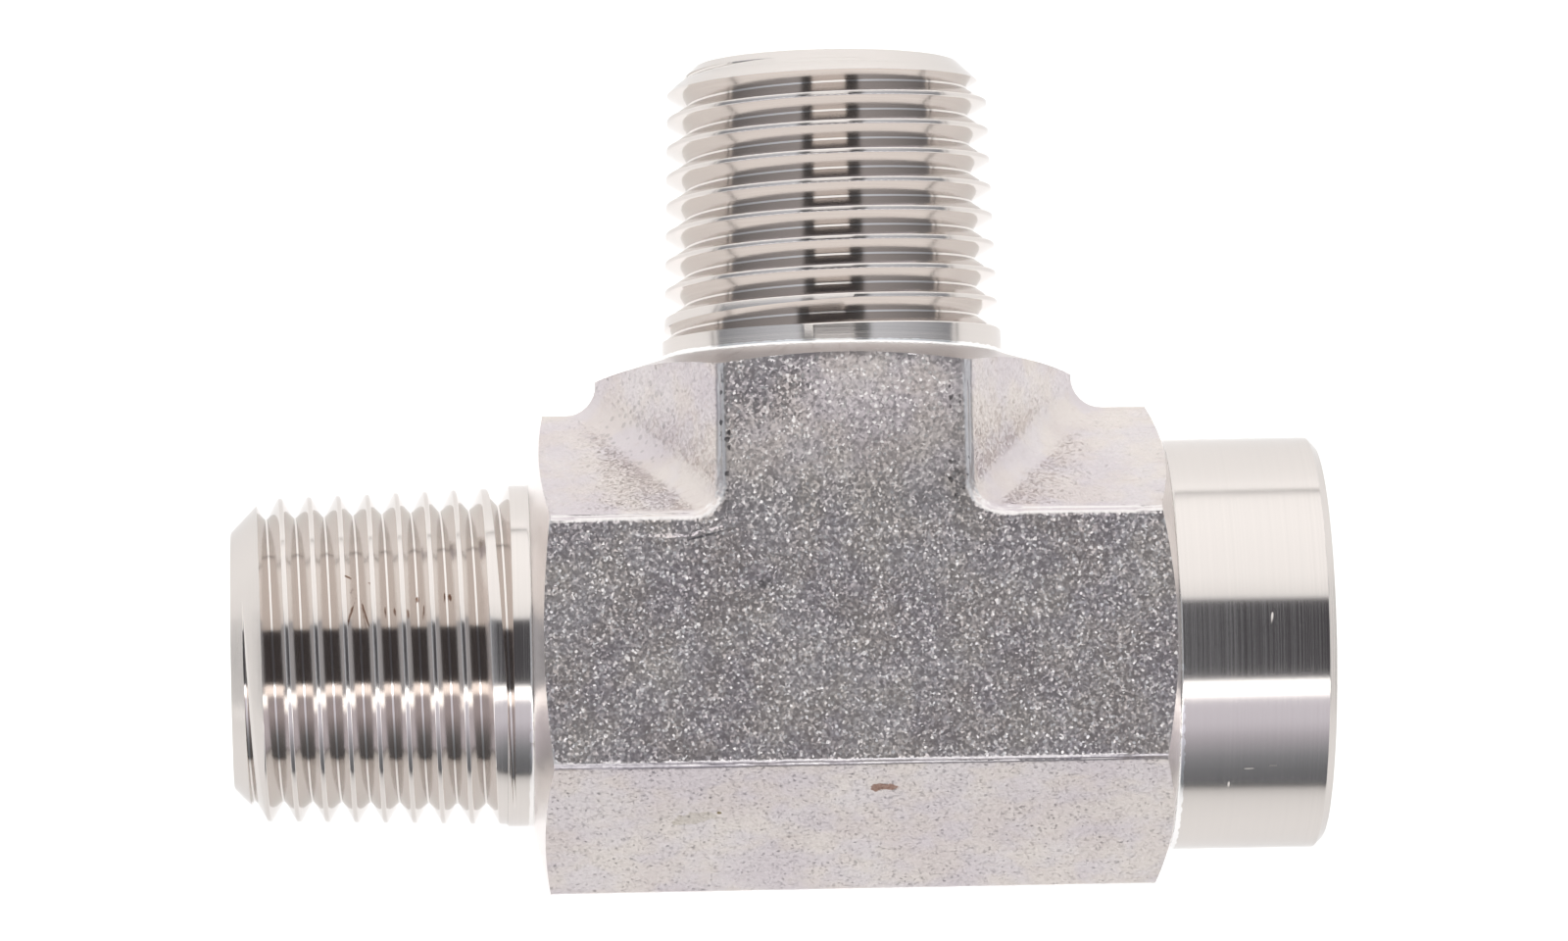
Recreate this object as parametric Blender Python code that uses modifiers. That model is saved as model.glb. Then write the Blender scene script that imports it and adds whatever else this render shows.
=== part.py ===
"""Threaded street tee, 1/2-14 taper pipe thread: male run end, female run end and male branch.

One forging, machined at its three ends. Metres, +Z up. The run lies along X with the
female end at +X, the branch points along +Y, and the tee lies on its back: the origin
is on the lower flat, straight under the point where the two axes cross.
"""

from math import acos, atan2, cos, hypot, pi, radians, sin, sqrt, tan

import bmesh
import bpy
from mathutils import Matrix

MM = 0.001

# Forged body: two hexagonal bars of one section, crossing at the origin's axis
ACROSS_FLATS = 27.0 * MM
ACROSS_LANDS = 30.1 * MM         # the corners are trimmed to a narrow land at the parting line
VALLEY_RADIUS = 2.0 * MM         # fillet where the branch grows out of the run
FLAT_EDGE_RADIUS = 0.9 * MM      # forged rounding along both edges of the wide flats

# Where each machined end leaves the forging, measured from the crossing of the axes
MALE_FACE = 19.45 * MM
BRANCH_FACE = 18.45 * MM
FEMALE_FACE = 20.5 * MM
MALE_CONE = radians(13.5)        # turned nose of the hexagon, measured from the end face
BRANCH_CONE = radians(17.0)
FEMALE_CONE = radians(22.0)

# Reaches of the three ends from the crossing of the axes
MALE_REACH = 38.1 * MM
BRANCH_REACH = 37.1 * MM
FEMALE_REACH = 30.2 * MM

# Male stubs
THREAD_PITCH = 25.4 * MM / 14
THREAD_TAPER = 1 / 16            # on the diameter
THREAD_MAJOR = 21.2 * MM         # over the crests, where the thread meets its collar
CREST_FLAT = 0.27 * MM
ROOT_FLAT = 0.12 * MM
FLANK_ANGLE = radians(30.0)
COLLAR_DIAMETER = 21.5 * MM
COLLAR_LENGTH = 1.6 * MM
MALE_CHAMFER = 2.0 * MM          # 45 degrees, down past the thread's root
BRANCH_CHAMFER = 1.7 * MM
RUN_THREAD_START = radians(162.0)      # clock angle at which the groove leaves the end face
BRANCH_THREAD_START = radians(-33.0)
RUN_OUT_TURN = 0.5               # the groove fades out over this share of its last turn
RUN_PAST_TURN = 0.25             # and ends this share of a turn past the collar's edge

# Female end
SOCKET_OUTSIDE = 25.9 * MM
RIM_CHAMFER = 0.5 * MM
MOUTH_DIAMETER = 21.7 * MM
SOCKET_MINOR = 18.7 * MM         # over the crests of the inner thread, just inside the mouth
SOCKET_DEPTH = 17.0 * MM
DRILL_POINT = radians(118.0)

# Bores
RUN_BORE = 13.5 * MM
BRANCH_BORE = 13.0 * MM
BORE_DEBURR = 0.4 * MM

# Facets
ROUND_STEPS = 32
FILLET_STEPS = 4
SHARP_ANGLE = radians(25.0)
OVERRUN = 0.5 * MM               # how far a cutter passes the face that it opens

AXIS_HEIGHT = ACROSS_FLATS / 2
SLOPE = radians(30.0)            # a hexagon's sloping faces lean this far from upright
THREAD_DEPTH = (THREAD_PITCH - CREST_FLAT - ROOT_FLAT) / (2 * tan(FLANK_ANGLE))
TO_MALE = Matrix.Rotation(-pi / 2, 4, 'Y')
TO_FEMALE = Matrix.Rotation(pi / 2, 4, 'Y')
TO_BRANCH = Matrix.Rotation(-pi / 2, 4, 'X')
HALF_STEP = Matrix.Rotation(pi / ROUND_STEPS, 4, 'Z')    # sets a cutter's facets between its neighbour's


def clear_scene():
    for obj in list(bpy.data.objects):
        bpy.data.objects.remove(obj, do_unlink=True)


def new_collection(name):
    collection = bpy.data.collections.new(name)
    bpy.context.scene.collection.children.link(collection)
    return collection


def new_material(name, colour, roughness):
    material = bpy.data.materials.new(name)
    material.use_nodes = True
    shader = material.node_tree.nodes['Principled BSDF']
    shader.inputs['Base Color'].default_value = (*colour, 1.0)
    shader.inputs['Metallic'].default_value = 1.0
    shader.inputs['Roughness'].default_value = roughness
    return material


def add_object(name, mesh, collection, material, turn=None):
    """Link a mesh as an object whose local Z, after turn, leaves the crossing of the axes."""
    obj = bpy.data.objects.new(name, mesh)
    collection.objects.link(obj)
    mesh.materials.append(material)
    obj.matrix_world = Matrix.Translation((0, 0, AXIS_HEIGHT)) @ (turn or Matrix())
    return obj


def as_tool(obj):
    obj.hide_render = True
    obj.display_type = 'WIRE'
    return obj


def turned(name, profile, collection, material, turn, ring=False):
    """Turn a profile of (radius, height) points, listed from the top down the outer side."""
    mesh = bpy.data.meshes.new(name)
    points = [(radius, 0.0, height) for radius, height in profile]
    edges = [(i, i + 1) for i in range(len(points) - 1)]
    if ring:
        edges.append((len(points) - 1, 0))
    mesh.from_pydata(points, edges, [])
    obj = add_object(name, mesh, collection, material, turn)
    screw = obj.modifiers.new('turn', 'SCREW')
    screw.axis = 'Z'
    screw.steps = ROUND_STEPS
    screw.render_steps = ROUND_STEPS
    screw.use_merge_vertices = True
    screw.merge_threshold = 1e-6
    return as_tool(obj)


def combine(target, tool, operation):
    modifier = target.modifiers.new(tool.name, 'BOOLEAN')
    modifier.operation = operation
    modifier.solver = 'EXACT'
    modifier.material_mode = 'TRANSFER'
    modifier.object = tool


def settle(obj):
    """Turn the evaluated object into a plain mesh, smooth between its sharp edges."""
    evaluated = obj.evaluated_get(bpy.context.evaluated_depsgraph_get())
    mesh = bpy.data.meshes.new_from_object(evaluated)
    obj.modifiers.clear()
    obj.data = mesh
    mesh.shade_smooth()
    mesh.set_sharp_from_angle(angle=SHARP_ANGLE)


def tee_outline(height):
    """The T-shaped section of the two crossing bars at a height, ends left OVERRUN long."""
    half = (ACROSS_FLATS - abs(height)) / sqrt(3)
    left = -MALE_FACE - OVERRUN
    right = FEMALE_FACE + OVERRUN
    top = BRANCH_FACE + OVERRUN
    return [(left, -half), (right, -half), (right, half), (half, half),
            (half, top), (-half, top), (-half, half), (left, half)]


def forged_body():
    """Loft the T from flat to flat through its widest section, then roll its edges."""
    bm = bmesh.new()
    rings = [[bm.verts.new((x, y, height)) for x, y in tee_outline(height)]
             for height in (-AXIS_HEIGHT, 0, AXIS_HEIGHT)]
    bm.faces.new(rings[0])
    bm.faces.new(rings[-1])
    for low, high in zip(rings, rings[1:]):
        for i in range(len(low)):
            bm.faces.new((low[i - 1], low[i], high[i], high[i - 1]))
    bmesh.ops.recalc_face_normals(bm, faces=bm.faces[:])

    # The re-entrant corners of the T run as valleys from flat to flat
    valley_turn = acos(sin(SLOPE) ** 2)
    roll_edges(bm, is_valley, VALLEY_RADIUS * tan(valley_turn / 2), FILLET_STEPS)
    roll_edges(bm, is_flat_edge, FLAT_EDGE_RADIUS * tan(SLOPE), 2)
    land = ACROSS_FLATS - sqrt(3) * ACROSS_LANDS / 2
    roll_edges(bm, is_ridge, land / cos(SLOPE), 1)
    mesh = bpy.data.meshes.new('tee_body')
    bm.to_mesh(mesh)
    bm.free()
    return mesh


def roll_edges(bm, chosen, offset, segments):
    bmesh.ops.bevel(bm, geom=[edge for edge in bm.edges if chosen(edge)], offset=offset, segments=segments,
                    profile=0.5, affect='EDGES', material=-1)


def is_valley(edge):
    """True along the two re-entrant corners, where |x| and y are both the half width."""
    return all(abs(abs(v.co.x) - v.co.y) < 1e-6 for v in edge.verts)


def runs_at(edge, height):
    """True for an edge at a height above or below the axes, apart from the three open ends."""
    a, b = (vert.co for vert in edge.verts)
    at_height = all(abs(abs(co.z) - height) < 1e-6 for co in (a, b))
    at_end = (abs(a.x - b.x) < 1e-6 and abs(a.x) > MALE_FACE) or (abs(a.y - b.y) < 1e-6 and a.y > BRANCH_FACE)
    return at_height and not at_end


def is_flat_edge(edge):
    return runs_at(edge, AXIS_HEIGHT)


def is_ridge(edge):
    return runs_at(edge, 0)


def nose_cutter(name, face, radius, cone, collection, material, turn):
    """A ring that turns the hexagon's end to a cone which meets the collar at the face."""
    outer = ACROSS_FLATS
    top = face + 2 * OVERRUN
    inner = radius - (top - face) / tan(cone)
    return turned(name, [(inner, top), (outer, top), (outer, face - (outer - radius) * tan(cone))],
                  collection, material, turn @ HALF_STEP, ring=True)


def crest_radius(height, collar_top):
    return (THREAD_MAJOR - THREAD_TAPER * (height - collar_top)) / 2


def male_stub(name, face, reach, chamfer, start, collection, material, turn):
    """A taper-threaded stub with its plain collar, solid down to the crossing of the axes."""
    collar_top = face + COLLAR_LENGTH
    tip = crest_radius(reach, collar_top)
    chamfered = reach - chamfer
    profile = [(0, reach), (tip - chamfer, reach), (crest_radius(chamfered, collar_top), chamfered),
               (THREAD_MAJOR / 2, collar_top), (COLLAR_DIAMETER / 2, collar_top),
               (COLLAR_DIAMETER / 2, 0), (0, 0)]
    clocked = turn @ Matrix.Rotation(start, 4, 'Z')
    stub = turned(name, profile, collection, material, clocked @ HALF_STEP)
    groove = thread_groove(name + '_groove', reach, collar_top, collection, material, clocked)
    combine(stub, groove, 'DIFFERENCE')
    return stub


def thread_groove(name, reach, collar_top, collection, material, turn):
    """The helical V groove: spun with a rise from the run-out up past the end face.

    Local angle 0 is where the groove's centre crosses the end face.
    """
    turns = (reach + THREAD_PITCH - collar_top) / THREAD_PITCH + RUN_PAST_TURN
    lift = THREAD_DEPTH + (COLLAR_DIAMETER - THREAD_MAJOR) / 2 + 0.02 * MM
    steps = int(turns * ROUND_STEPS)
    root = ROOT_FLAT / 2
    bottom = THREAD_MAJOR / 2 - THREAD_DEPTH
    outside = THREAD_MAJOR / 2 + OVERRUN
    shoulder = (THREAD_PITCH - CREST_FLAT / 2) / 2
    above = bottom + (shoulder - root) / tan(FLANK_ANGLE)
    top = reach + THREAD_PITCH
    section = [(bottom, root), (above, shoulder), (outside, shoulder),
               (outside, -shoulder), (above, -shoulder), (bottom, -root)]
    bm = bmesh.new()
    face = bm.faces.new([bm.verts.new((radius, 0, top + height)) for radius, height in section])
    bmesh.ops.spin(bm, geom=[face, *face.edges, *face.verts], cent=(0, 0, 0), axis=(0, 0, 1),
                   dvec=(0, 0, -THREAD_PITCH / ROUND_STEPS), angle=-2 * pi * steps / ROUND_STEPS,
                   steps=steps, use_merge=False, use_duplicate=False)
    for vert in bm.verts:
        co = vert.co
        clock = atan2(co.y, co.x) / (2 * pi)
        turn_here = clock + round((co.z - top) / THREAD_PITCH - clock)
        fade = max(0.0, 1 - (turn_here + steps / ROUND_STEPS) / RUN_OUT_TURN)
        radius = hypot(co.x, co.y)
        grown = radius - THREAD_TAPER * (co.z - collar_top) / 2 + fade * lift
        co.x *= grown / radius
        co.y *= grown / radius
    bmesh.ops.recalc_face_normals(bm, faces=bm.faces[:])
    mesh = bpy.data.meshes.new(name)
    bm.to_mesh(mesh)
    bm.free()
    return as_tool(add_object(name, mesh, collection, material, turn))


def female_end(collection, material):
    """The round collar of the female end, solid down to the crossing of the axes."""
    radius = SOCKET_OUTSIDE / 2
    profile = [(0, FEMALE_REACH), (radius - RIM_CHAMFER, FEMALE_REACH), (radius, FEMALE_REACH - RIM_CHAMFER),
               (radius, 0), (0, 0)]
    return turned('female_end', profile, collection, material, TO_FEMALE)


def socket_cutter(collection, material):
    """The tapped hole: mouth chamfer, tapered wall and drill point, opening into the run bore."""
    mouth = MOUTH_DIAMETER / 2
    minor = SOCKET_MINOR / 2
    floor = FEMALE_REACH - SOCKET_DEPTH
    floor_radius = minor - THREAD_TAPER * SOCKET_DEPTH / 2
    point = floor - floor_radius / tan(DRILL_POINT / 2)
    profile = [(0, FEMALE_REACH + OVERRUN), (mouth + OVERRUN, FEMALE_REACH + OVERRUN),
               (minor, FEMALE_REACH - (mouth - minor)), (floor_radius, floor), (0, point)]
    return turned('socket', profile, collection, material, TO_FEMALE @ HALF_STEP)


def bore_cutter(name, reach, past_axis, bore, collection, material, turn):
    """A drilled bore from an end's mouth, deburred there, to past_axis beyond the crossing."""
    radius = bore / 2
    flare = radius + BORE_DEBURR
    profile = [(0, reach + OVERRUN), (flare + OVERRUN, reach + OVERRUN), (radius, reach - BORE_DEBURR),
               (radius, -past_axis), (0, -past_axis)]
    return turned(name, profile, collection, material, turn)


def build():
    clear_scene()
    parts = new_collection('threaded_tee')
    tools = new_collection('threaded_tee_tools')
    forged = new_material('forged_stainless', (0.47, 0.45, 0.44), 0.42)
    machined = new_material('machined_stainless', (0.66, 0.64, 0.62), 0.16)

    body = add_object('tee_body', forged_body(), parts, forged)
    collar = COLLAR_DIAMETER / 2
    noses = [nose_cutter('male_nose', MALE_FACE, collar, MALE_CONE, tools, machined, TO_MALE),
             nose_cutter('branch_nose', BRANCH_FACE, collar, BRANCH_CONE, tools, machined, TO_BRANCH),
             nose_cutter('female_nose', FEMALE_FACE, SOCKET_OUTSIDE / 2, FEMALE_CONE, tools, machined, TO_FEMALE)]
    ends = [male_stub('male_end', MALE_FACE, MALE_REACH, MALE_CHAMFER, RUN_THREAD_START, tools, machined,
                      TO_MALE),
            male_stub('branch_end', BRANCH_FACE, BRANCH_REACH, BRANCH_CHAMFER, BRANCH_THREAD_START, tools,
                      machined, TO_BRANCH),
            female_end(tools, machined)]
    holes = [socket_cutter(tools, machined),
             bore_cutter('run_bore', MALE_REACH, FEMALE_REACH - SOCKET_DEPTH, RUN_BORE, tools, machined, TO_MALE),
             bore_cutter('branch_bore', BRANCH_REACH, 0, BRANCH_BORE, tools, machined, TO_BRANCH @ HALF_STEP)]
    for nose in noses:
        combine(body, nose, 'DIFFERENCE')
    for end in ends:
        combine(body, end, 'UNION')
    for hole in holes:
        combine(body, hole, 'DIFFERENCE')
    settle(body)


build()
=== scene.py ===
from math import acos, atan2, cos, hypot, pi, radians, sin, sqrt, tan

import bmesh
import bpy
from mathutils import Matrix, Vector, noise


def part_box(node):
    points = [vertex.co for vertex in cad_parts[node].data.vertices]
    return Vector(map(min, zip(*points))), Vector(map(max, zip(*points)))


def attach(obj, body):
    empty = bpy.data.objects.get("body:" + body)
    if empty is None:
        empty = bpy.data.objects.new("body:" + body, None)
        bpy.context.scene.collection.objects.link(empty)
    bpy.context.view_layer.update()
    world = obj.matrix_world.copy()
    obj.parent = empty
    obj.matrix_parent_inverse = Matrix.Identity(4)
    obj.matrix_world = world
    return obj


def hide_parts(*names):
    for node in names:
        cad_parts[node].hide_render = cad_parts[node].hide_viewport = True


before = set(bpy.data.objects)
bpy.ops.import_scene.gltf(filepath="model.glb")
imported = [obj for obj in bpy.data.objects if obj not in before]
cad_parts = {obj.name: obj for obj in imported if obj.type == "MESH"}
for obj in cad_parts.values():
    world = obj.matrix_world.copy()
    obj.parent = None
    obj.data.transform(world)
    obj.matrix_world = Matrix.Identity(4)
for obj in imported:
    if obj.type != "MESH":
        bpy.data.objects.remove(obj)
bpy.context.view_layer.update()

# The tee lies on its back: the run along X with the female end at +X, the branch along +Y
mm = 0.001
nodeLow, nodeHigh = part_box("tee_body")
axisHeight = (nodeLow.z + nodeHigh.z) / 2
toMale = Matrix.Rotation(-pi / 2, 4, 'Y')
toFemale = Matrix.Rotation(pi / 2, 4, 'Y')
toBranch = Matrix.Rotation(-pi / 2, 4, 'X')
roundSteps = 128
halfStep = Matrix.Rotation(pi / roundSteps, 4, 'Z')      # keeps a tool's facets off its neighbour's
overrun = 0.5 * mm                 # by which a tool passes the face that it cuts
mergeDistance = 1e-7
tolerance = 1e-6
hexLean = radians(30)              # the hexagon's sloping faces against the upright


# Shader graphs: a Wire is an output socket that takes part in Python sums

class Wire:
    def __init__(self, graph, socket):
        self.graph = graph
        self.socket = socket

    def sum(self, operation, first, second):
        return self.graph.node('ShaderNodeMath', {'operation': operation}, {0: first, 1: second})

    def __add__(self, other):
        return self.sum('ADD', self, other)

    def __radd__(self, other):
        return self.sum('ADD', other, self)

    def __sub__(self, other):
        return self.sum('SUBTRACT', self, other)

    def __rsub__(self, other):
        return self.sum('SUBTRACT', other, self)

    def __mul__(self, other):
        return self.sum('MULTIPLY', self, other)

    def __truediv__(self, other):
        return self.sum('DIVIDE', self, other)


class Graph:
    def __init__(self, owner):
        owner.use_nodes = True
        self.tree = owner.node_tree
        self.tree.nodes.clear()

    def node(self, kind, settings=None, sockets=None, output=0):
        made = self.tree.nodes.new(kind)
        for name, value in (settings or {}).items():
            if name == 'stops':
                self.fillRamp(made.color_ramp, value)
            else:
                setattr(made, name, value)
        for name, value in (sockets or {}).items():
            if isinstance(value, Wire):
                self.tree.links.new(value.socket, made.inputs[name])
            else:
                made.inputs[name].default_value = value
        return Wire(self, made.outputs[output]) if made.outputs else None

    def fillRamp(self, ramp, stops):
        while len(ramp.elements) < len(stops):
            ramp.elements.new(1.0)
        for element, (place, colour) in zip(ramp.elements, stops):
            element.position = place
            element.color = (*colour, 1.0)

    def between(self, value, low, high):
        settings = {'interpolation_type': 'SMOOTHSTEP'}
        return self.node('ShaderNodeMapRange', settings, {0: value, 1: low, 2: high})

    def blend(self, factor, first, second):
        sockets = {0: factor, 6: first, 7: second}
        return self.node('ShaderNodeMix', {'data_type': 'RGBA'}, sockets, 2)

    def vector(self, operation, first, second=(0.0, 0.0, 0.0), output=0):
        return self.node('ShaderNodeVectorMath', {'operation': operation}, {0: first, 1: second}, output)


# Finishes

white = (1.0, 1.0, 1.0)
wobbleScale = 2200.0               # noises are scaled per metre
blasted = {
    "colour": (0.66, 0.61, 0.59),
    "roughness": 0.31,
    "roughnessSpread": 0.06,
    "grainSize": 0.26 * mm,
    "grainTilt": 0.28,
    "facetSize": 0.15 * mm,        # the dents of single grains of blasting grit
    "facetTilt": 0.36,
    "flatLevel": (0.97, 0.995),    # upright part of the normal from which a face is a flat
    "patchScale": 180.0,
    "patchReach": (0.35, 0.65),
    "patchDark": (0.92, (1.01, 0.99, 1.02)),           # share of the colour, and its tint
    "patchLight": (1.02, white),
    "smearScale": (420.0, 2200.0, 2200.0),
    "smearReach": (0.56, 0.8),
    "smear": (0.9, (1.02, 0.99, 0.99)),
    "castScale": 330.0,
    "castReach": (0.4, 0.6),
    "coolCast": (0.98, 0.985, 1.02),
    "warmCast": (1.012, 1.005, 0.985),
    "paintedGlint": (0.95, 0.91, 0.89),   # painted highlight: lighter colour on the steepest dents, where they would catch the light
    "paintedGlintReach": (0.58, 0.72),
    "paintedEdgeHighlight": (0.78, 0.745, 0.73),    # painted highlight: lighter colour along the rolled edges of the flats
    "paintedEdgeHighlightTilt": (6, 10, 24, 32),    # degrees from the flat over which it comes and goes
    "edgeTilt": (6, 10, 52, 58),   # the rolled edges take less of the grain
    "edgeCalm": 0.6,
    "branchLean": 0.11,            # the flat bends up a little towards the branch, and is smoother there
    "branchStart": (6.5 * mm, 11 * mm),
    "branchCalm": 0.7,
    "branchShade": {"at": (-5.9, 17.2, 13.5), "size": (5.6, 5.0, 1.0), "core": 0.1, "amount": 0.85},
    "pitSize": 0.6 * mm,
    "pitRadius": (0.22, 0.34),     # shares of the pits' spacing
    "pitWobble": 0.5,
    "pitColour": (0.13, 0.12, 0.12),
}

# Marks: place from the crossing of the axes and half lengths in mm, turn about Z in degrees,
# strength, and the share of the way out at which the strength starts to fade
markCore = 0.75
pitted = [
    {"at": (-12.4, 13.6, 5.2), "size": (3.4, 3.4, 5.5), "amount": 0.25},
    {"at": (-7.42, 12.6, 13.5), "size": (0.34, 3.7, 0.6)},
    {"at": (6.95, 10.2, 13.5), "size": (0.9, 1.9, 0.6), "amount": 0.8},
    {"at": (6.85, 14.6, 13.5), "size": (0.4, 2.8, 0.6), "amount": 0.9},
]
rust = (0.3, 0.19, 0.15)
# Soot on the forging, and painted shade along the branch flat's edges and under the crease
sootAndPaintedShade = (0.3, 0.285, 0.29)
olive = (0.5, 0.45, 0.38)
forgingMarks = [
    {"at": (2.11, -9.2, 11.1), "size": (1.1, 0.24, 0.5), "colour": rust, "turn": -5},
    {"at": (1.6, -9.22, 11.05), "size": (0.45, 0.4, 0.6), "colour": rust},
    {"at": (-9.6, -10.8, 8.3), "size": (1.9, 0.5, 0.9), "colour": olive, "turn": 14, "amount": 0.6},
    {"at": (-8.05, -10.5, 8.8), "size": (0.16, 0.12, 0.2), "colour": (0.22, 0.18, 0.1)},
    # painted shade: darker bands along both edges of the branch flat
    {"at": (-7.42, 12.2, 13.5), "size": (0.25, 6.0, 0.6), "colour": sootAndPaintedShade, "amount": 0.35},
    {"at": (7.0, 12.0, 13.5), "size": (0.5, 5.5, 0.6), "colour": sootAndPaintedShade, "amount": 0.35},
    {"at": (-5.1, 3.3, 13.5), "size": (0.5, 0.4, 0.6), "colour": sootAndPaintedShade, "amount": 0.6},
    {"at": (-11.1, 6.42, 13.5), "size": (1.35, 0.16, 0.6), "tilt": (0.0, -0.25, 0.0)},
    {"at": (-8.9, 6.62, 13.5), "size": (1.35, 0.13, 0.6), "tilt": (0.0, -0.25, 0.0), "turn": 14},
    # painted shade: a dark line on the shaded side of the crease
    {"at": (-8.6, 6.42, 13.5), "size": (1.3, 0.07, 0.6), "colour": sootAndPaintedShade, "turn": 14},
]


def spot(graph, place, mark, wobble):
    x, y, z = mark["at"]
    local = graph.node('ShaderNodeMapping', {'vector_type': 'TEXTURE'}, {
        'Vector': place,
        'Location': (x * mm, y * mm, z * mm + axisHeight),
        'Rotation': (0.0, 0.0, radians(mark.get("turn", 0))),
        'Scale': tuple(size * mm for size in mark["size"])})
    away = graph.vector('LENGTH', local, output='Value') + (wobble - 0.5)
    return (1 - graph.between(away, mark.get("core", markCore), 1.0)) * mark.get("amount", 1.0)


def scaled(graph, vector, factor):
    return graph.node('ShaderNodeVectorMath', {'operation': 'SCALE'}, {0: vector, 'Scale': factor})


def marked(graph, place, wobble, colour, normal, marks):
    # A mark's colour is laid there (stains, and painted highlights and shade alike), and a scratch turns
    # the surface towards a light
    for mark in marks:
        mask = spot(graph, place, mark, wobble)
        if "colour" in mark:
            colour = graph.blend(mask, colour, (*mark["colour"], 1.0))
        if "tilt" in mark:
            normal = graph.vector('ADD', normal, scaled(graph, mark["tilt"], mask))
    return colour, normal


def blastedMetal():
    material = bpy.data.materials.new("blastedForging")
    graph = Graph(material)
    place = graph.node('ShaderNodeTexCoord', output='Object')
    normal = graph.node('ShaderNodeNewGeometry', output='Normal')
    parts = graph.node('ShaderNodeSeparateXYZ', None, {0: normal}, 2)
    level = graph.node('ShaderNodeMath', {'operation': 'ABSOLUTE'}, {0: parts})
    along = graph.node('ShaderNodeSeparateXYZ', None, {0: place}, 1)

    def tilted(first, full, last, gone):
        came = graph.between(level, cos(radians(first)), cos(radians(full)))
        return came * (1 - graph.between(level, cos(radians(last)), cos(radians(gone))))

    paintedEdgeHighlight = tilted(*blasted["paintedEdgeHighlightTilt"])
    onFlat = graph.between(level, *blasted["flatLevel"])
    wobble = graph.node('ShaderNodeTexNoise', None, {'Vector': place, 'Scale': wobbleScale, 'Detail': 2.0})
    shaded = spot(graph, place, blasted["branchShade"], wobble)
    branchward = graph.between(along, *blasted["branchStart"]) * onFlat * (1 - shaded)
    edgeCalm = 1 - tilted(*blasted["edgeTilt"]) * blasted["edgeCalm"]
    calm = edgeCalm * (1 - branchward * blasted["branchCalm"])
    grain = graph.node('ShaderNodeTexNoise', None, {
        'Vector': place, 'Scale': 1 / blasted["grainSize"], 'Detail': 1.0, 'Roughness': 0.5}, 1)
    facets = graph.node('ShaderNodeTexVoronoi', None, {
        'Vector': place, 'Scale': 1 / blasted["facetSize"]}, 1)
    patches = graph.node('ShaderNodeTexNoise', None, {
        'Vector': place, 'Scale': blasted["patchScale"], 'Detail': 3.0})
    smears = graph.node('ShaderNodeTexNoise', None, {
        'Vector': graph.vector('MULTIPLY', place, blasted["smearScale"]), 'Scale': 1.0, 'Detail': 3.0})

    centre = (0.5, 0.5, 0.5)
    lean = scaled(graph, graph.vector('SUBTRACT', grain, centre), calm * blasted["grainTilt"])
    steepness = graph.vector('SUBTRACT', facets, centre)
    dents = scaled(graph, steepness, calm * blasted["facetTilt"])
    steep = graph.vector('LENGTH', steepness, output='Value')
    paintedGlint = graph.between(steep, *blasted["paintedGlintReach"]) * onFlat
    bent = scaled(graph, (0.0, blasted["branchLean"], 0.0), branchward)
    leaned = graph.vector('ADD', graph.vector('ADD', normal, lean), graph.vector('ADD', dents, bent))

    def shade(share, tint):
        return tuple(share * part * hue for part, hue in zip(blasted["colour"], tint)) + (1.0,)

    patch = graph.between(patches, *blasted["patchReach"])
    colour = graph.blend(patch, shade(*blasted["patchDark"]), shade(*blasted["patchLight"]))
    colour = graph.blend(graph.between(smears, *blasted["smearReach"]), colour, shade(*blasted["smear"]))
    tints = graph.node('ShaderNodeTexNoise', None, {
        'Vector': place, 'Scale': blasted["castScale"], 'Detail': 2.0})
    warmth = graph.between(tints, *blasted["castReach"])
    cast = graph.blend(warmth, (*blasted["coolCast"], 1.0), (*blasted["warmCast"], 1.0))
    colour = graph.vector('MULTIPLY', colour, cast)
    # Painted highlight: the steepest dents on the flats take a lighter colour
    colour = graph.blend(paintedGlint, colour, (*blasted["paintedGlint"], 1.0))
    # Painted highlight: a lighter band along the rolled edges of the flats
    colour = graph.blend(paintedEdgeHighlight, colour, (*blasted["paintedEdgeHighlight"], 1.0))
    pits = graph.node('ShaderNodeTexVoronoi', None, {'Vector': place, 'Scale': 1 / blasted["pitSize"]})
    hole = 1 - graph.between(pits + (wobble - 0.5) * blasted["pitWobble"], *blasted["pitRadius"])
    for zone in pitted:
        pit = hole * spot(graph, place, zone, wobble)
        colour = graph.blend(pit, colour, (*blasted["pitColour"], 1.0))
    colour, leaned = marked(graph, place, wobble, colour, leaned, forgingMarks)
    roughness = blasted["roughness"] + (patches - 0.5) * blasted["roughnessSpread"]
    shader = graph.node('ShaderNodeBsdfPrincipled', None, {
        'Base Color': colour, 'Metallic': 1.0, 'Roughness': roughness,
        'Normal': graph.vector('NORMALIZE', leaned)})
    graph.node('ShaderNodeOutputMaterial', None, {'Surface': shader})
    return material


coneShare = 1.37                   # lets the turning lines run on over faces across the axis too
bright = {
    "colour": (0.69, 0.645, 0.615),
    "rim": 0.82,                   # share left of the gloss at grazing angles
    "roughness": 0.12,
    "markSize": 0.008 * mm,        # the finest tool marks, seen only as a blur along the axis
    "markTilt": 0.7,
    "lineSize": 0.2 * mm,          # turning lines wide enough to see
    "lineTilt": 0.008,
    "lineShade": 0.06,
}
faced = {                          # the cones that the collars stand on, cut with a coarser tool
    "colour": (0.61, 0.56, 0.55),
    "rim": 0.82,
    "roughness": 0.3,
    "markSize": 0.008 * mm,
    "markTilt": 0.5,
    "lineSize": 0.15 * mm,
    "lineTilt": 0.1,
    "lineShade": 0.2,
}
facedRunPaintedLight = {                       # the run's two cones: a lighter copy of the faced finish, painted light that makes them brighter than the branch's
    **faced,
    "colour": (0.84, 0.79, 0.77),
    "rim": 1.0,
}
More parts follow.
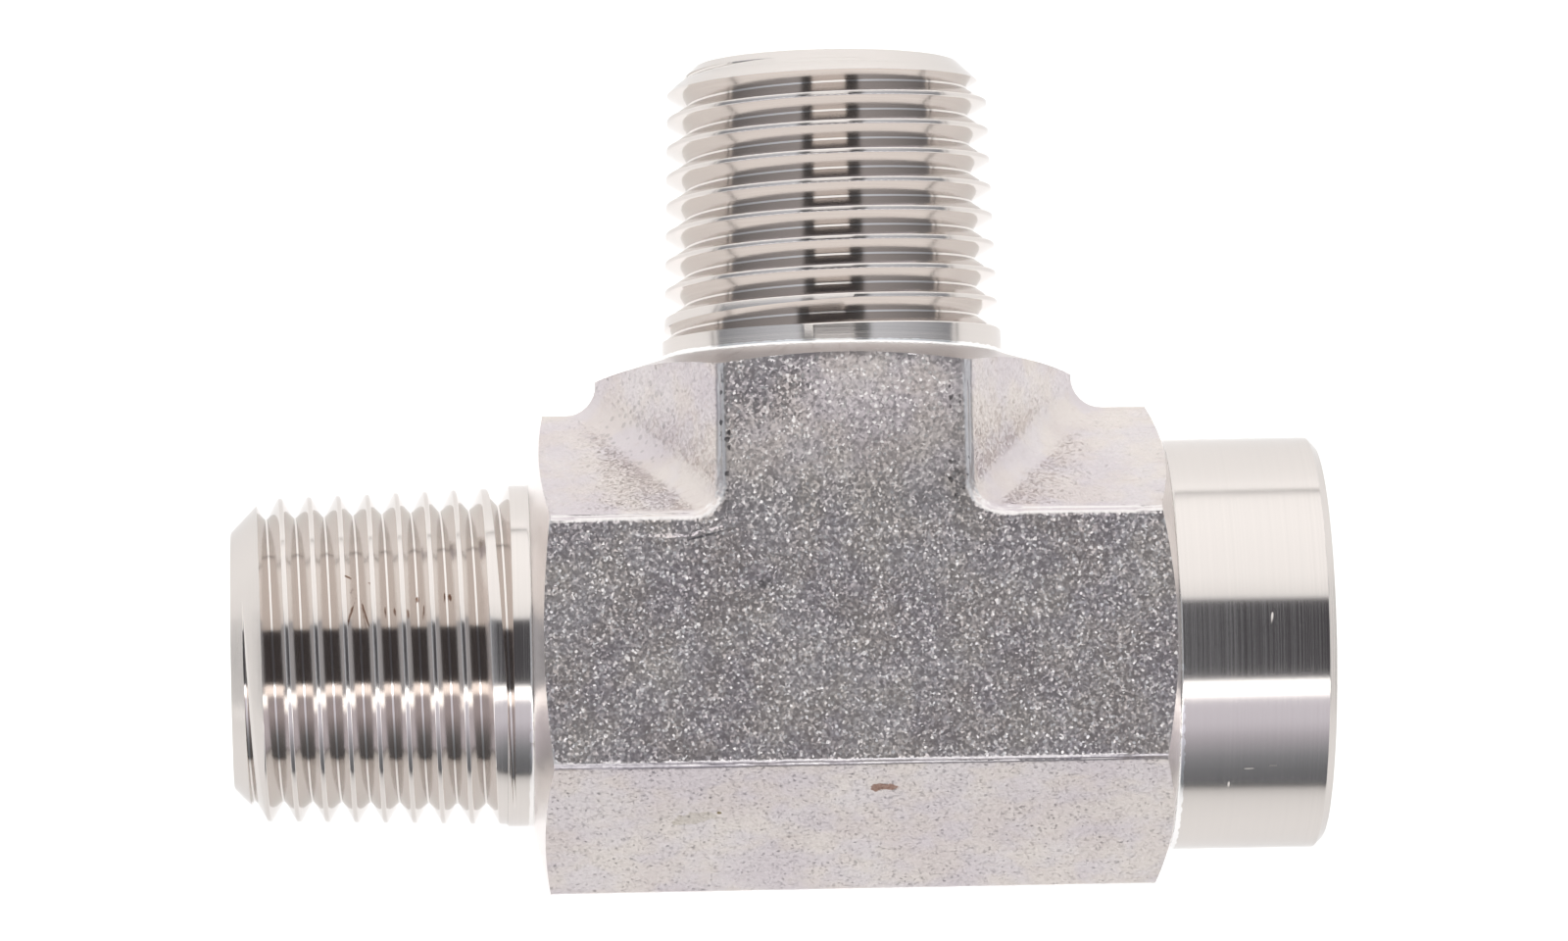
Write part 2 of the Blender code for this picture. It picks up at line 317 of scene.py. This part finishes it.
threadCut = {
    "colour": (0.745, 0.7, 0.67),
    "rim": 0.86,
    "roughness": 0.1,
    "markSize": 0.008 * mm,
    "markTilt": 0.12,
    "lineSize": 0.12 * mm,
    "lineTilt": 0.05,
    "lineShade": 0.12,
}
hair = (0.22, 0.13, 0.09)
paintedFilletHighlight = (0.97, 0.95, 0.94)   # painted highlight: near-white colour along the fillets under the collars, the brightest lines there
runMarks = [
    # painted highlight along the fillets under the run's two collars
    {"at": (20.6, -15.0, 0.0), "size": (0.26, 15.0, 28.0), "colour": paintedFilletHighlight},
    {"at": (-19.55, -13.0, 0.0), "size": (0.2, 13.0, 24.0), "colour": paintedFilletHighlight, "amount": 0.7},
    {"at": (26.15, 0.75, 12.93), "size": (0.09, 0.38, 0.5), "tilt": (0.0, 0.11, 0.0), "turn": -8},
    {"at": (27.9, 0.23, 12.95), "size": (0.08, 0.08, 0.3), "tilt": (0.0, 0.11, 0.0)},
    {"at": (28.35, -0.99, 12.91), "size": (0.22, 0.06, 0.3), "tilt": (0.0, 0.11, 0.0), "turn": -30},
    {"at": (24.8, -8.4, 9.85), "size": (0.5, 0.05, 0.3), "tilt": (0.0, -0.2, 0.0)},
    {"at": (26.3, -8.25, 9.98), "size": (0.35, 0.04, 0.3), "tilt": (0.0, -0.2, 0.0)},
    {"at": (23.6, -9.3, 9.0), "size": (0.08, 0.2, 0.3), "tilt": (0.0, -0.25, 0.0)},
]
branchMarks = [
    # painted highlight along the fillet under the branch's collar
    {"at": (0.0, 18.55, 0.0), "size": (24.0, 0.2, 24.0), "colour": paintedFilletHighlight},
]
runThreadMarks = [
    {"at": (-29.9, 2.75, 9.9), "size": (0.07, 1.65, 1.5), "colour": hair, "turn": 16},
    {"at": (-30.75, 4.5, 9.6), "size": (0.45, 0.07, 1.5), "colour": hair, "turn": -20},
    {"at": (-26.5, 3.1, 9.1), "size": (0.07, 0.3, 0.6), "colour": hair},
    {"at": (-26.1, 2.3, 9.2), "size": (0.05, 0.4, 0.6), "colour": hair},
    {"at": (-28.5, 2.4, 9.2), "size": (0.05, 0.3, 0.6), "colour": hair},
    {"at": (-24.8, 3.2, 8.9), "size": (0.06, 0.25, 0.6), "colour": hair},
    {"at": (-29.7, -8.1, 6.2), "size": (0.06, 0.9, 1.5), "colour": hair, "turn": 12},
]


def turnedMetal(name, axis, look, marks=()):
    material = bpy.data.materials.new(name)
    graph = Graph(material)
    place = graph.node('ShaderNodeTexCoord', output='Object')
    centred = graph.node('ShaderNodeMapping', None, {'Vector': place, 'Location': (0.0, 0.0, -axisHeight)})
    normal = graph.node('ShaderNodeNewGeometry', output='Normal')
    around = graph.vector('NORMALIZE', graph.vector('CROSS_PRODUCT', axis, centred))
    across = graph.vector('CROSS_PRODUCT', normal, around)
    travel = graph.vector('DOT_PRODUCT', centred, axis, output='Value')
    radius = graph.vector('LENGTH', graph.vector('CROSS_PRODUCT', axis, centred), output='Value')
    path = travel + radius * coneShare
    fine = graph.node('ShaderNodeTexNoise', {'noise_dimensions': '1D'}, {
        'W': path / look["markSize"], 'Scale': 1.0, 'Detail': 1.0})
    lines = graph.node('ShaderNodeTexNoise', {'noise_dimensions': '1D'}, {
        'W': path / look["lineSize"], 'Scale': 1.0, 'Detail': 3.0, 'Roughness': 0.6})
    tilt = (fine - 0.5) * look["markTilt"] + (lines - 0.5) * look["lineTilt"]
    leaned = graph.vector('ADD', normal, scaled(graph, across, tilt))
    wobble = graph.node('ShaderNodeTexNoise', None, {'Vector': place, 'Scale': wobbleScale, 'Detail': 2.0})
    colour = scaled(graph, look["colour"], 1 + (lines - 0.5) * look["lineShade"])
    colour, leaned = marked(graph, place, wobble, colour, leaned, marks)
    shader = graph.node('ShaderNodeBsdfPrincipled', None, {
        'Base Color': colour, 'Metallic': 1.0, 'Roughness': look["roughness"],
        'Specular Tint': (look["rim"], look["rim"], look["rim"], 1.0),
        'Normal': graph.vector('NORMALIZE', leaned)})
    graph.node('ShaderNodeOutputMaterial', None, {'Surface': shader})
    return material


forgedFinish = blastedMetal()
runAxis = (1.0, 0.0, 0.0)
branchAxis = (0.0, 1.0, 0.0)
runFinish = turnedMetal("brightRun", runAxis, bright, runMarks)
branchFinish = turnedMetal("brightBranch", branchAxis, bright, branchMarks)
runFacing = turnedMetal("facedRunPaintedLight", runAxis, facedRunPaintedLight)
branchFacing = turnedMetal("facedBranch", branchAxis, faced)
runThreadFinish = turnedMetal("runThread", runAxis, threadCut, runThreadMarks)
branchThreadFinish = turnedMetal("branchThread", branchAxis, threadCut)
print("finishes made")


# The forging: two hexagonal bars of one section, lofted from flat to flat

forging = {
    "acrossFlats": nodeHigh.z - nodeLow.z,
    "acrossLands": -2 * nodeLow.y,
    "valleyRadius": 2.0 * mm,
    "flatEdgeRadius": 0.9 * mm,
    "lowEdgeRadius": 0.62 * mm,    # the flats' edges on the side away from the branch are crisper
    "grid": 0.6 * mm,
    "swell": 0.05 * mm,            # unevenness left by the dies
    "swellSize": 5.0 * mm,
    "ragged": 0.07 * mm,           # waviness of the rolled edges beside the flats
    "raggedSize": 1.5 * mm,
    "raggedBand": 0.12,            # its reach past the roll's middle, in upright part of the normal
    "sharpFrom": radians(28),
}

ends = {
    "male": {"face": 19.45 * mm, "cone": radians(13.5), "reach": -nodeLow.x, "start": radians(162),
             "chamfer": 2.0 * mm, "bore": 13.5 * mm, "turn": toMale, "finish": runFinish,
             "thread": runThreadFinish, "facing": runFacing},
    "branch": {"face": 18.45 * mm, "cone": radians(17.0), "reach": nodeHigh.y, "start": radians(-33),
               "chamfer": 1.7 * mm, "bore": 13.0 * mm, "turn": toBranch, "finish": branchFinish,
               "thread": branchThreadFinish, "facing": branchFacing},
    "female": {"face": 20.5 * mm, "cone": radians(22.0), "reach": nodeHigh.x, "turn": toFemale,
               "finish": runFinish, "thread": runThreadFinish, "facing": runFacing},
}


def addObject(name, bm, finish, turn=None):
    mesh = bpy.data.meshes.new(name)
    bm.to_mesh(mesh)
    bm.free()
    mesh.transform(Matrix.Translation((0, 0, axisHeight)) @ (turn or Matrix()))
    mesh.materials.append(finish)
    obj = bpy.data.objects.new(name, mesh)
    bpy.context.scene.collection.objects.link(obj)
    return obj


def teeRing(bm, height):
    half = (forging["acrossFlats"] - abs(height)) / sqrt(3)
    left = -ends["male"]["face"] - overrun
    right = ends["female"]["face"] + overrun
    top = ends["branch"]["face"] + overrun
    corners = [(left, -half), (right, -half), (right, half), (half, half),
               (half, top), (-half, top), (-half, half), (left, half)]
    ring = [bm.verts.new((x, y, height)) for x, y in corners]
    return [bm.edges.new((ring[i - 1], ring[i])) for i in range(len(ring))]


def rollEdges(bm, chosen, offset, segments):
    edges = [edge for edge in bm.edges if chosen(edge)]
    bmesh.ops.bevel(bm, geom=edges, offset=offset, segments=segments, profile=0.5, affect='EDGES',
                    material=-1)


def isValley(edge):
    return all(abs(abs(vert.co.x) - vert.co.y) < tolerance for vert in edge.verts)


def runsAt(edge, height):
    a, b = (vert.co for vert in edge.verts)
    atEnd = (abs(a.x - b.x) < tolerance and abs(a.x) > ends["male"]["face"]) or (
        abs(a.y - b.y) < tolerance and a.y > ends["branch"]["face"])
    return not atEnd and all(abs(abs(co.z) - height) < tolerance for co in (a, b))


def isLow(edge):
    return all(vert.co.y < 0 for vert in edge.verts)


def isForged(vert):
    return all(face.material_index == 0 for face in vert.link_faces)


def touchesForged(element):
    if isinstance(element, bmesh.types.BMFace):
        return element.material_index == 0
    return any(face.material_index == 0 for face in element.link_faces)


def sliceAlong(bm, geom, axis, low, high, step):
    direction = Vector((0, 0, 0))
    direction[axis] = 1
    for i in range(1, int((high - low) / step)):
        place = direction * (low + i * step)
        cut = bmesh.ops.bisect_plane(bm, geom=geom, dist=mergeDistance, plane_co=place, plane_no=direction)
        geom = cut["geom"]
    return geom


def roughenForging(tee):
    # A net of points over the forged faces carries the unevenness, which only ever cuts inwards
    bm = bmesh.new()
    bm.from_mesh(tee.data)
    bmesh.ops.triangulate(bm, faces=[face for face in bm.faces if face.material_index == 0])
    grid = forging["grid"]
    elements = [*bm.verts, *bm.edges, *bm.faces]
    geom = [element for element in elements if touchesForged(element)]
    geom = sliceAlong(bm, geom, 0, -ends["male"]["face"], ends["female"]["face"], grid)
    geom = sliceAlong(bm, geom, 1, nodeLow.y, ends["branch"]["face"], grid)
    sliceAlong(bm, geom, 2, nodeLow.z, nodeHigh.z, grid)
    bmesh.ops.dissolve_degenerate(bm, dist=mergeDistance, edges=bm.edges[:])
    bm.normal_update()
    for vert in bm.verts:
        if isForged(vert):
            swell = noise.noise(vert.co / forging["swellSize"]) - 1
            edgeness = max(0.0, 1 - abs(abs(vert.normal.z) - cos(hexLean)) / forging["raggedBand"])
            ragged = noise.noise(vert.co / forging["raggedSize"]) - 1
            sunk = 0.5 * swell * forging["swell"] + 0.5 * edgeness * ragged * forging["ragged"]
            vert.co += vert.normal * sunk
    bm.to_mesh(tee.data)
    bm.free()


def forgedBody():
    bm = bmesh.new()
    halfFlats = forging["acrossFlats"] / 2
    rings = [teeRing(bm, height) for height in (-halfFlats, 0, halfFlats)]
    bmesh.ops.bridge_loops(bm, edges=rings[0] + rings[1])
    bmesh.ops.bridge_loops(bm, edges=rings[1] + rings[2])
    bmesh.ops.contextual_create(bm, geom=rings[0])
    bmesh.ops.contextual_create(bm, geom=rings[2])
    bmesh.ops.recalc_face_normals(bm, faces=bm.faces[:])

    valleyTurn = acos(sin(hexLean) ** 2)
    rollEdges(bm, isValley, forging["valleyRadius"] * tan(valleyTurn / 2), 8)
    rollEdges(bm, lambda edge: runsAt(edge, halfFlats) and not isLow(edge),
              forging["flatEdgeRadius"] * tan(hexLean), 5)
    rollEdges(bm, lambda edge: runsAt(edge, halfFlats) and isLow(edge),
              forging["lowEdgeRadius"] * tan(hexLean), 5)
    land = forging["acrossFlats"] - sqrt(3) * forging["acrossLands"] / 2
    rollEdges(bm, lambda edge: runsAt(edge, 0), land / cos(hexLean), 1)
    return addObject("threadedTee", bm, forgedFinish)


# Turned tools and ends, made round local Z and then laid along their axes

stub = {
    "pitch": 25.4 * mm / 14,
    "taper": 1 / 16,
    "major": 21.2 * mm,
    "crestFlat": 0.27 * mm,
    "rootFlat": 0.12 * mm,
    "flank": radians(30),
    "crestRound": 0.08 * mm,
    "crestSteps": (60, 47, 34, 21),                     # degrees of the crest's rounding
    "crestLap": 0.06 * mm,
    "collar": 21.5 * mm,
    "collarLength": 1.6 * mm,
    "collarRound": 0.12 * mm,
    "baseFillet": 0.22 * mm,
    "footDepth": 0.1 * mm,         # by which the foot of a fillet is sunk in the body
    "deburr": 0.4 * mm,
    "runOut": 0.5,                 # turns over which the groove fades out at its collar
    "runPast": 0.25,               # turns by which it passes the collar's edge
    "runClear": 0.02 * mm,         # above the collar when it has faded out
}
threadDepth = (stub["pitch"] - stub["crestFlat"] - stub["rootFlat"]) / (2 * tan(stub["flank"]))


def arc(centre, radius, start, end, segments):
    angles = [start + (end - start) * i / segments for i in range(segments + 1)]
    return [(centre[0] + radius * cos(angle), centre[1] + radius * sin(angle)) for angle in angles]


def turned(name, profile, finish, turn, ring=False):
    bm = bmesh.new()
    verts = [bm.verts.new((radius, 0, height)) for radius, height in profile]
    edges = [bm.edges.new(pair) for pair in zip(verts, verts[1:])]
    if ring:
        edges.append(bm.edges.new((verts[-1], verts[0])))
    bmesh.ops.spin(bm, geom=verts + edges, cent=(0, 0, 0), axis=(0, 0, 1), angle=2 * pi, steps=roundSteps,
                   use_merge=True, use_duplicate=False)
    bmesh.ops.remove_doubles(bm, verts=bm.verts[:], dist=mergeDistance)
    bmesh.ops.recalc_face_normals(bm, faces=bm.faces[:])
    return addObject(name, bm, finish, turn)


def noseCutter(end, radius):
    outer = forging["acrossFlats"]
    top = end["face"] + 2 * overrun
    inner = radius - (top - end["face"]) / tan(end["cone"])
    section = [(inner, top), (outer, top), (outer, end["face"] - (outer - radius) * tan(end["cone"]))]
    return turned("nose", section, end["facing"], end["turn"] @ halfStep, ring=True)


def baseFillet(end, radius, size):
    cone = end["cone"]
    centre = (radius + size, end["face"] + size * (1 - sin(cone)) / cos(cone))
    points = arc(centre, size, pi, 3 * pi / 2 - cone, 4)
    foot = points[-1]
    return points + [(foot[0] + stub["footDepth"], foot[1] - stub["footDepth"]), (radius, 0)]


def maleEnd(end):
    collarTop = end["face"] + stub["collarLength"]
    collar = stub["collar"] / 2
    chamfered = end["reach"] - end["chamfer"]
    tip = (stub["major"] - stub["taper"] * (end["reach"] - collarTop)) / 2
    shoulder = (stub["major"] - stub["taper"] * (chamfered - collarTop)) / 2
    softness = stub["collarRound"]
    profile = [(0, end["reach"]), (tip - end["chamfer"], end["reach"]), (shoulder, chamfered),
               (stub["major"] / 2, collarTop)]
    profile += arc((collar - softness, collarTop - softness), softness, pi / 2, 0, 3)
    profile += baseFillet(end, collar, stub["baseFillet"]) + [(0, 0)]
    clocked = end["turn"] @ Matrix.Rotation(end["start"], 4, 'Z')
    solid = turned("maleEnd", profile, end["finish"], clocked @ halfStep)
    groove = threadGroove(end["thread"], clocked, end["reach"], collarTop, stub["major"] / 2, 1)
    combine(solid, groove, 'DIFFERENCE')
    return settle(solid)


def grooveSection(sign):
    crestHalf = stub["crestFlat"] / 2
    pitchHalf = stub["pitch"] / 2
    rise = stub["crestRound"]
    run = rise * tan(stub["flank"])
    corner = pitchHalf - crestHalf
    side = [(threadDepth, stub["rootFlat"] / 2)]
    for angle in map(radians, stub["crestSteps"]):
        side.append((rise * (1 - cos(angle)), corner + run - rise * sin(angle)))
    depth, height = side[-1]
    side.append((depth - stub["crestLap"] * sin(angle), height + stub["crestLap"] * cos(angle)))
    side.append((-overrun, side[-1][1]))
    whole = side + [(depth, -height) for depth, height in reversed(side)]
    return [(-sign * depth, height) for depth, height in whole]


def threadGroove(finish, turn, top, bottom, crest, sign):
    pitch = stub["pitch"]
    past = stub["runPast"] if sign > 0 else 0
    lift = threadDepth + (stub["collar"] - stub["major"]) / 2 + stub["runClear"]
    steps = int(((top + pitch - bottom) / pitch + past) * roundSteps)
    bm = bmesh.new()
    high = top + pitch
    section = [(crest + depth, 0, high + height) for depth, height in grooveSection(sign)]
    face = bm.faces.new([bm.verts.new(point) for point in section])
    bmesh.ops.spin(bm, geom=[face, *face.edges, *face.verts], cent=(0, 0, 0), axis=(0, 0, 1),
                   dvec=(0, 0, -pitch / roundSteps), angle=-2 * pi * steps / roundSteps,
                   steps=steps, use_merge=False, use_duplicate=False)
    for vert in bm.verts:
        co = vert.co
        clock = atan2(co.y, co.x) / (2 * pi)
        turnHere = clock + round((co.z - high) / pitch - clock)
        fade = max(0.0, 1 - (turnHere + steps / roundSteps) / stub["runOut"])
        radius = hypot(co.x, co.y)
        lean = stub["taper"] * (co.z - bottom) / 2
        grown = radius - sign * (lean - fade * lift)
        co.x *= grown / radius
        co.y *= grown / radius
    bmesh.ops.recalc_face_normals(bm, faces=bm.faces[:])
    return addObject("groove", bm, finish, turn)


socket = {
    "outside": 25.9 * mm,
    "rim": 0.5 * mm,
    "mouth": 21.7 * mm,
    "minor": 18.7 * mm,
    "depth": 17.0 * mm,
    "threadLength": 14.0 * mm,
    "drillPoint": radians(118),
    "baseFillet": 0.2 * mm,
    "start": radians(40),
}


def femaleEnd(end):
    radius = socket["outside"] / 2
    rim = socket["rim"]
    profile = [(0, end["reach"]), (radius - rim, end["reach"]), (radius, end["reach"] - rim)]
    profile += baseFillet(end, radius, socket["baseFillet"]) + [(0, 0)]
    return turned("femaleEnd", profile, end["finish"], end["turn"])


def socketCutter(end):
    mouth = socket["mouth"] / 2
    minor = socket["minor"] / 2
    floor = end["reach"] - socket["depth"]
    floorRadius = minor - stub["taper"] * socket["depth"] / 2
    point = floor - floorRadius / tan(socket["drillPoint"] / 2)
    profile = [(0, end["reach"] + overrun), (mouth + overrun, end["reach"] + overrun),
               (minor, end["reach"] - (mouth - minor)), (floorRadius, floor), (0, point)]
    return turned("socket", profile, end["finish"], end["turn"] @ halfStep)


def boreCutter(end, pastAxis, turn):
    radius = end["bore"] / 2
    deburr = stub["deburr"]
    profile = [(0, end["reach"] + overrun), (radius + deburr + overrun, end["reach"] + overrun),
               (radius, end["reach"] - deburr), (radius, -pastAxis), (0, -pastAxis)]
    return turned("bore", profile, end["finish"], turn)


def combine(target, tool, operation):
    modifier = target.modifiers.new(tool.name, 'BOOLEAN')
    modifier.operation = operation
    modifier.solver = 'EXACT'
    modifier.material_mode = 'TRANSFER'
    modifier.object = tool


def settle(obj):
    evaluated = obj.evaluated_get(bpy.context.evaluated_depsgraph_get())
    mesh = bpy.data.meshes.new_from_object(evaluated)
    tools = [modifier.object for modifier in obj.modifiers]
    obj.modifiers.clear()
    obj.data = mesh
    for tool in tools:
        bpy.data.objects.remove(tool)
    return obj


def buildTee():
    male, branch, female = ends["male"], ends["branch"], ends["female"]
    tee = forgedBody()
    print("forging lofted:", len(tee.data.polygons), "faces")
    collar = stub["collar"] / 2
    for end, radius in ((male, collar), (branch, collar), (female, socket["outside"] / 2)):
        combine(tee, noseCutter(end, radius), 'DIFFERENCE')
    for part in (maleEnd(male), maleEnd(branch), femaleEnd(female)):
        combine(tee, part, 'UNION')
    print("ends turned and threaded")
    floor = female["reach"] - socket["depth"]
    runBore = boreCutter(male, floor, toMale)
    branchBore = boreCutter(branch, 0, toBranch @ halfStep)
    for hole in (socketCutter(female), runBore, branchBore):
        combine(tee, hole, 'DIFFERENCE')
    settle(tee)
    clocked = toFemale @ Matrix.Rotation(socket["start"], 4, 'Z')
    threadEnd = female["reach"] - socket["threadLength"]
    crest = socket["minor"] / 2 - stub["taper"] * socket["threadLength"] / 2
    inner = threadGroove(female["thread"], clocked, female["reach"], threadEnd, crest, -1)
    combine(tee, inner, 'DIFFERENCE')
    settle(tee)
    print("ends joined:", len(tee.data.polygons), "faces")
    roughenForging(tee)
    tee.data.shade_smooth()
    tee.data.set_sharp_from_angle(angle=forging["sharpFrom"])
    print("tee joined:", len(tee.data.polygons), "faces")
    return tee


tee = buildTee()
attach(tee, "root")
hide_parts("tee_body")


# Studio: a white floor, a light card towards +Y, a strip light and a dark ceiling round the lens

studio = {
    "floorSize": (6.0, 6.0),
    "floorPlace": (0.0, 0.0, 0.0),
    "floorColour": (0.86, 0.86, 0.86),
    "lampPower": 11.7,
    "lampSize": 0.6,
    "lampPlace": (0.0, 0.35, 0.8),
    "cardSize": (32 * mm, 24 * mm),
    "cardPlace": (-1.5 * mm, 43.5 * mm, 84 * mm),
    "cardLight": 1.2,
    "skyStrength": 3.0,
    "ceiling": ((-24, -22.5), (19.5, 21.5)),            # degrees towards +Y between which it hangs
    "horizon": ((0.03, 0.06), (-0.5, 0.0)),             # height and +Y part of a direction that sees it
    "horizonGrey": 0.37,
}


def addSheet(name, size, place):
    bm = bmesh.new()
    bmesh.ops.create_grid(bm, x_segments=1, y_segments=1, size=0.5)
    mesh = bpy.data.meshes.new(name)
    bm.to_mesh(mesh)
    bm.free()
    mesh.transform(Matrix.Translation(place) @ Matrix.Diagonal((*size, 1, 1)))
    sheet = bpy.data.objects.new(name, mesh)
    bpy.context.scene.collection.objects.link(sheet)
    return sheet


def buildFloor():
    floor = addSheet("studioFloor", studio["floorSize"], studio["floorPlace"])
    material = bpy.data.materials.new("whiteFloor")
    graph = Graph(material)
    shader = graph.node('ShaderNodeBsdfPrincipled', None, {
        'Base Color': (*studio["floorColour"], 1.0), 'Roughness': 1.0, 'Specular IOR Level': 0.0})
    graph.node('ShaderNodeOutputMaterial', None, {'Surface': shader})
    floor.data.materials.append(material)


def buildWorld():
    world = bpy.data.worlds.new("studioWorld")
    bpy.context.scene.world = world
    graph = Graph(world)
    direction = graph.node('ShaderNodeTexCoord', output='Generated')
    parts = graph.node('ShaderNodeSeparateXYZ', None, {0: direction})
    split = parts.socket.node.outputs
    x, y, z = (Wire(graph, split[i]) for i in range(3))
    degrees = 180 / pi
    along = x.sum('ARCTAN2', x, z) * degrees
    across = graph.node('ShaderNodeMath', {'operation': 'ARCSINE'}, {0: y}) * degrees
    sideways = graph.node('ShaderNodeMath', {'operation': 'ABSOLUTE'}, {0: along})

    def cards(stops, low, high, factor):
        # A row of cards: where each stop stands between two angles, how bright it is, and its tint
        strength = studio["skyStrength"]
        ramp = [((at - low) / (high - low), tuple(value / strength * part for part in tint))
                for at, value, tint in stops]
        return graph.node('ShaderNodeValToRGB', {'stops': ramp}, {0: factor})

    mauve = (1.0, 0.98, 1.08)
    blue = (0.95, 1.0, 1.08)
    stops = [(-90, 0.17, blue), (-78, 0.2, blue), (-68, 0.3, blue), (-57, 0.53, mauve), (-48, 0.78, mauve),
             (-34, 0.8, mauve), (-31, 2.6, white), (-25, 2.8, white), (-22.8, 0.5, blue),
             (19.5, 0.5, blue), (22, 1.1, white), (34, 1.25, white), (65, 1.32, white), (90, 1.3, white)]
    walls = cards(stops, -90, 90, across / 180 + 0.5)
    stops = [(0, 0.085, mauve), (15, 0.085, mauve), (16, 0.1, blue), (22, 0.13, blue), (25, 0.7, blue),
             (46, 0.6, blue), (64, 0.48, blue), (88, 0.3, blue)]
    ceiling = cards(stops, 0, 90, sideways / 90)
    first, last = studio["ceiling"]
    overhead = graph.between(across, *first) * (1 - graph.between(across, *last))
    colour = graph.blend(overhead, walls, ceiling)
    low, towardsBranch = studio["horizon"]
    horizon = (1 - graph.between(z, *low)) * graph.between(y, *towardsBranch)
    colour = graph.blend(horizon, colour, (*[studio["horizonGrey"]] * 3, 1.0))
    shader = graph.node('ShaderNodeBackground', None, {'Color': colour, 'Strength': studio["skyStrength"]})
    graph.node('ShaderNodeOutputWorld', None, {'Surface': shader})
    world.cycles_visibility.diffuse = False


def buildCard():
    # A small reflector close above the branch, seen only in the metal
    card = addSheet("reflector", studio["cardSize"], studio["cardPlace"])
    material = bpy.data.materials.new("reflectorGlow")
    graph = Graph(material)
    shader = graph.node('ShaderNodeEmission', None, {'Strength': studio["cardLight"]})
    graph.node('ShaderNodeOutputMaterial', None, {'Surface': shader})
    card.data.materials.append(material)
    card.visible_camera = False
    card.visible_diffuse = False
    card.visible_shadow = False


def buildLamp():
    # Lights the floor alone, as the metal shows only the cards
    lamp = bpy.data.lights.new("floorLamp", 'AREA')
    lamp.shape = 'DISK'
    lamp.size = studio["lampSize"]
    lamp.energy = studio["lampPower"]
    lamp.use_shadow = False
    obj = bpy.data.objects.new("floorLamp", lamp)
    obj.matrix_world = Matrix.Translation(studio["lampPlace"]) @ Vector(studio["lampPlace"]).to_track_quat(
        'Z', 'Y').to_matrix().to_4x4()
    obj.visible_glossy = False
    obj.visible_camera = False
    bpy.context.scene.collection.objects.link(obj)


view = {
    "place": (-28.7 * mm, -32.7 * mm, 529.3 * mm),      # from the crossing of the axes
    "pitch": radians(-4.76),
    "yaw": radians(2.76),
    "roll": radians(1.18),
    "lens": 193.26,
    "sensor": 36.0,
    "clip": (0.01, 20.0),
}


def buildCamera():
    camera = bpy.data.cameras.new("photoCamera")
    camera.lens = view["lens"]
    camera.sensor_width = view["sensor"]
    camera.clip_start, camera.clip_end = view["clip"]
    obj = bpy.data.objects.new("photoCamera", camera)
    turn = (Matrix.Rotation(-view["yaw"], 4, 'Y') @ Matrix.Rotation(-view["pitch"], 4, 'X')
            @ Matrix.Rotation(-view["roll"], 4, 'Z'))
    obj.matrix_world = Matrix.Translation(Vector(view["place"]) + Vector((0, 0, axisHeight))) @ turn
    bpy.context.scene.collection.objects.link(obj)
    bpy.context.scene.camera = obj


buildFloor()
buildWorld()
buildCard()
buildLamp()
buildCamera()
bpy.context.scene.view_settings.view_transform = 'Standard'
print("studio ready")
